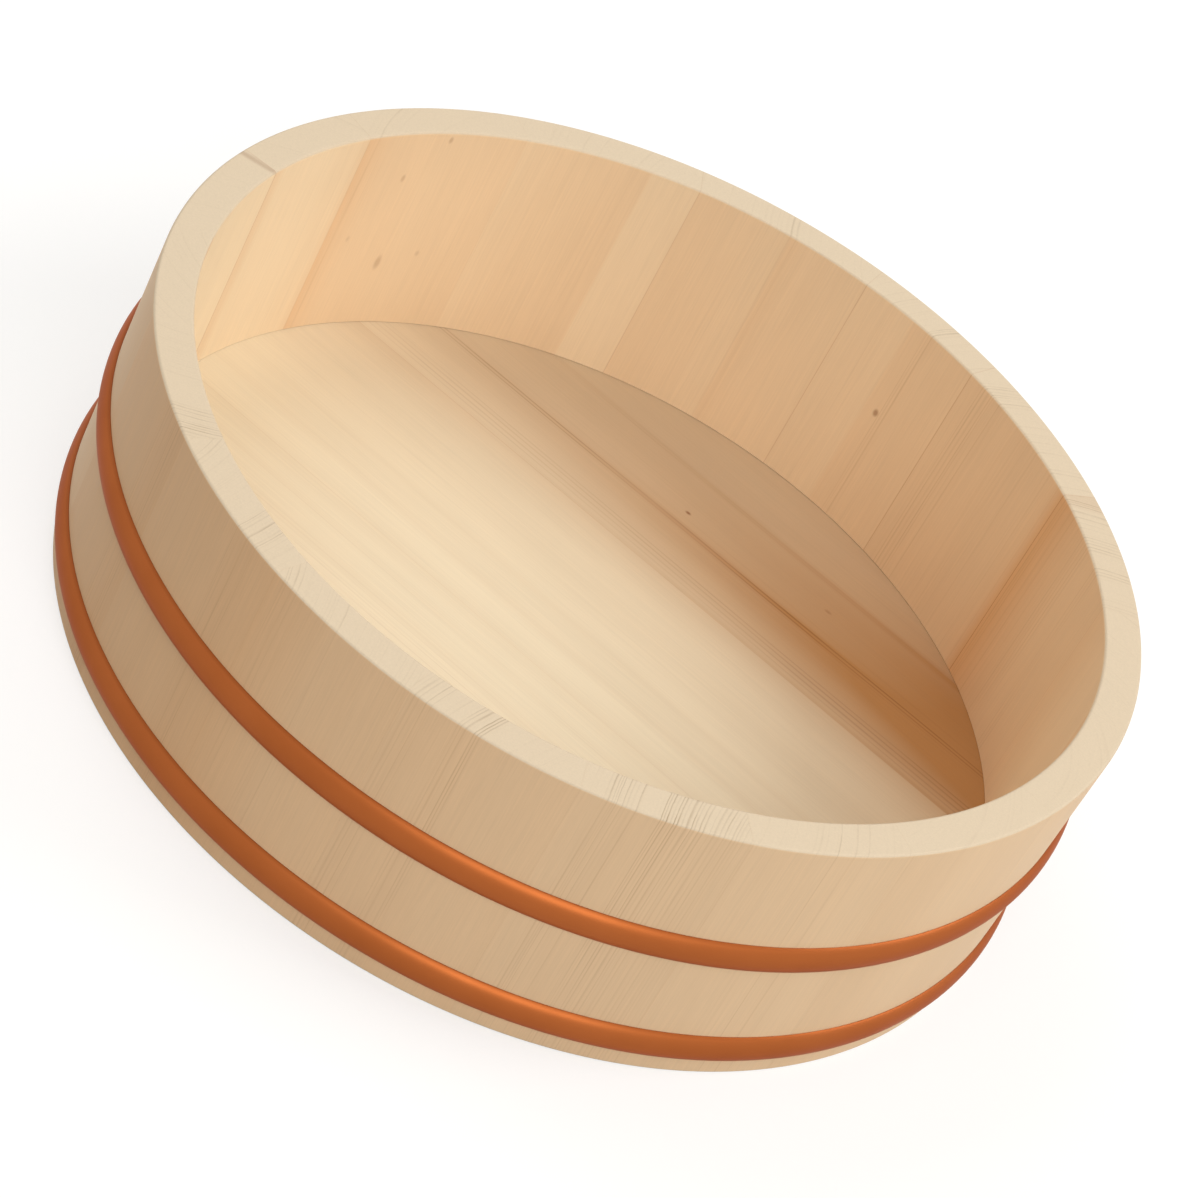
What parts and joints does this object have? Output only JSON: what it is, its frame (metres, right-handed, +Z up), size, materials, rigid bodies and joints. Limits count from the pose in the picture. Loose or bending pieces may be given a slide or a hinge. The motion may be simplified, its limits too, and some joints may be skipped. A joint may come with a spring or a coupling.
{
  "type": "sushi rice tub",
  "caption": "Low round coopered tub of pale conifer staves with a flat boarded floor, held by two copper-coloured hoops, for mixing and cooling sushi rice.",
  "frame": {"origin": "centre of the tub on the plane that its staves stand on", "axes": "+Z up along the tub's axis; -Y is the side nearest the viewer in the picture; +X is to the viewer's right"},
  "size_m": [0.333, 0.333, 0.0982],
  "materials": {
    "stave_wood": "bare planed conifer wood",
    "floor_wood": "bare planed conifer wood",
    "bamboo": "split bamboo",
    "hoop_coat": "smooth copper-coloured resin"
  },
  "bodies": {
    "root": {"stave_01": "stave_wood", "stave_02": "stave_wood", "stave_03": "stave_wood", "stave_04": "stave_wood", "stave_05": "stave_wood", "stave_06": "stave_wood", "stave_07": "stave_wood", "stave_08": "stave_wood", "stave_09": "stave_wood", "stave_10": "stave_wood", "stave_11": "stave_wood", "stave_12": "stave_wood", "stave_13": "stave_wood", "stave_14": "stave_wood", "stave_15": "stave_wood", "stave_16": "stave_wood", "stave_17": "stave_wood", "stave_18": "stave_wood", "floor_board_1": "floor_wood", "floor_board_2": "floor_wood", "floor_board_3": "floor_wood", "floor_board_4": "floor_wood", "upper_hoop": "hoop_coat", "lower_hoop": "hoop_coat", "stave_peg_01": "bamboo", "stave_peg_02": "bamboo", "stave_peg_03": "bamboo", "stave_peg_04": "bamboo", "stave_peg_05": "bamboo", "stave_peg_06": "bamboo", "stave_peg_07": "bamboo", "stave_peg_08": "bamboo", "stave_peg_09": "bamboo", "stave_peg_10": "bamboo", "stave_peg_11": "bamboo", "stave_peg_12": "bamboo", "stave_peg_13": "bamboo", "stave_peg_14": "bamboo", "stave_peg_15": "bamboo", "stave_peg_16": "bamboo", "stave_peg_17": "bamboo", "stave_peg_18": "bamboo", "floor_peg_1": "bamboo", "floor_peg_2": "bamboo", "floor_peg_3": "bamboo", "floor_peg_4": "bamboo", "floor_peg_5": "bamboo", "floor_peg_6": "bamboo"}
  },
  "joints": []
}
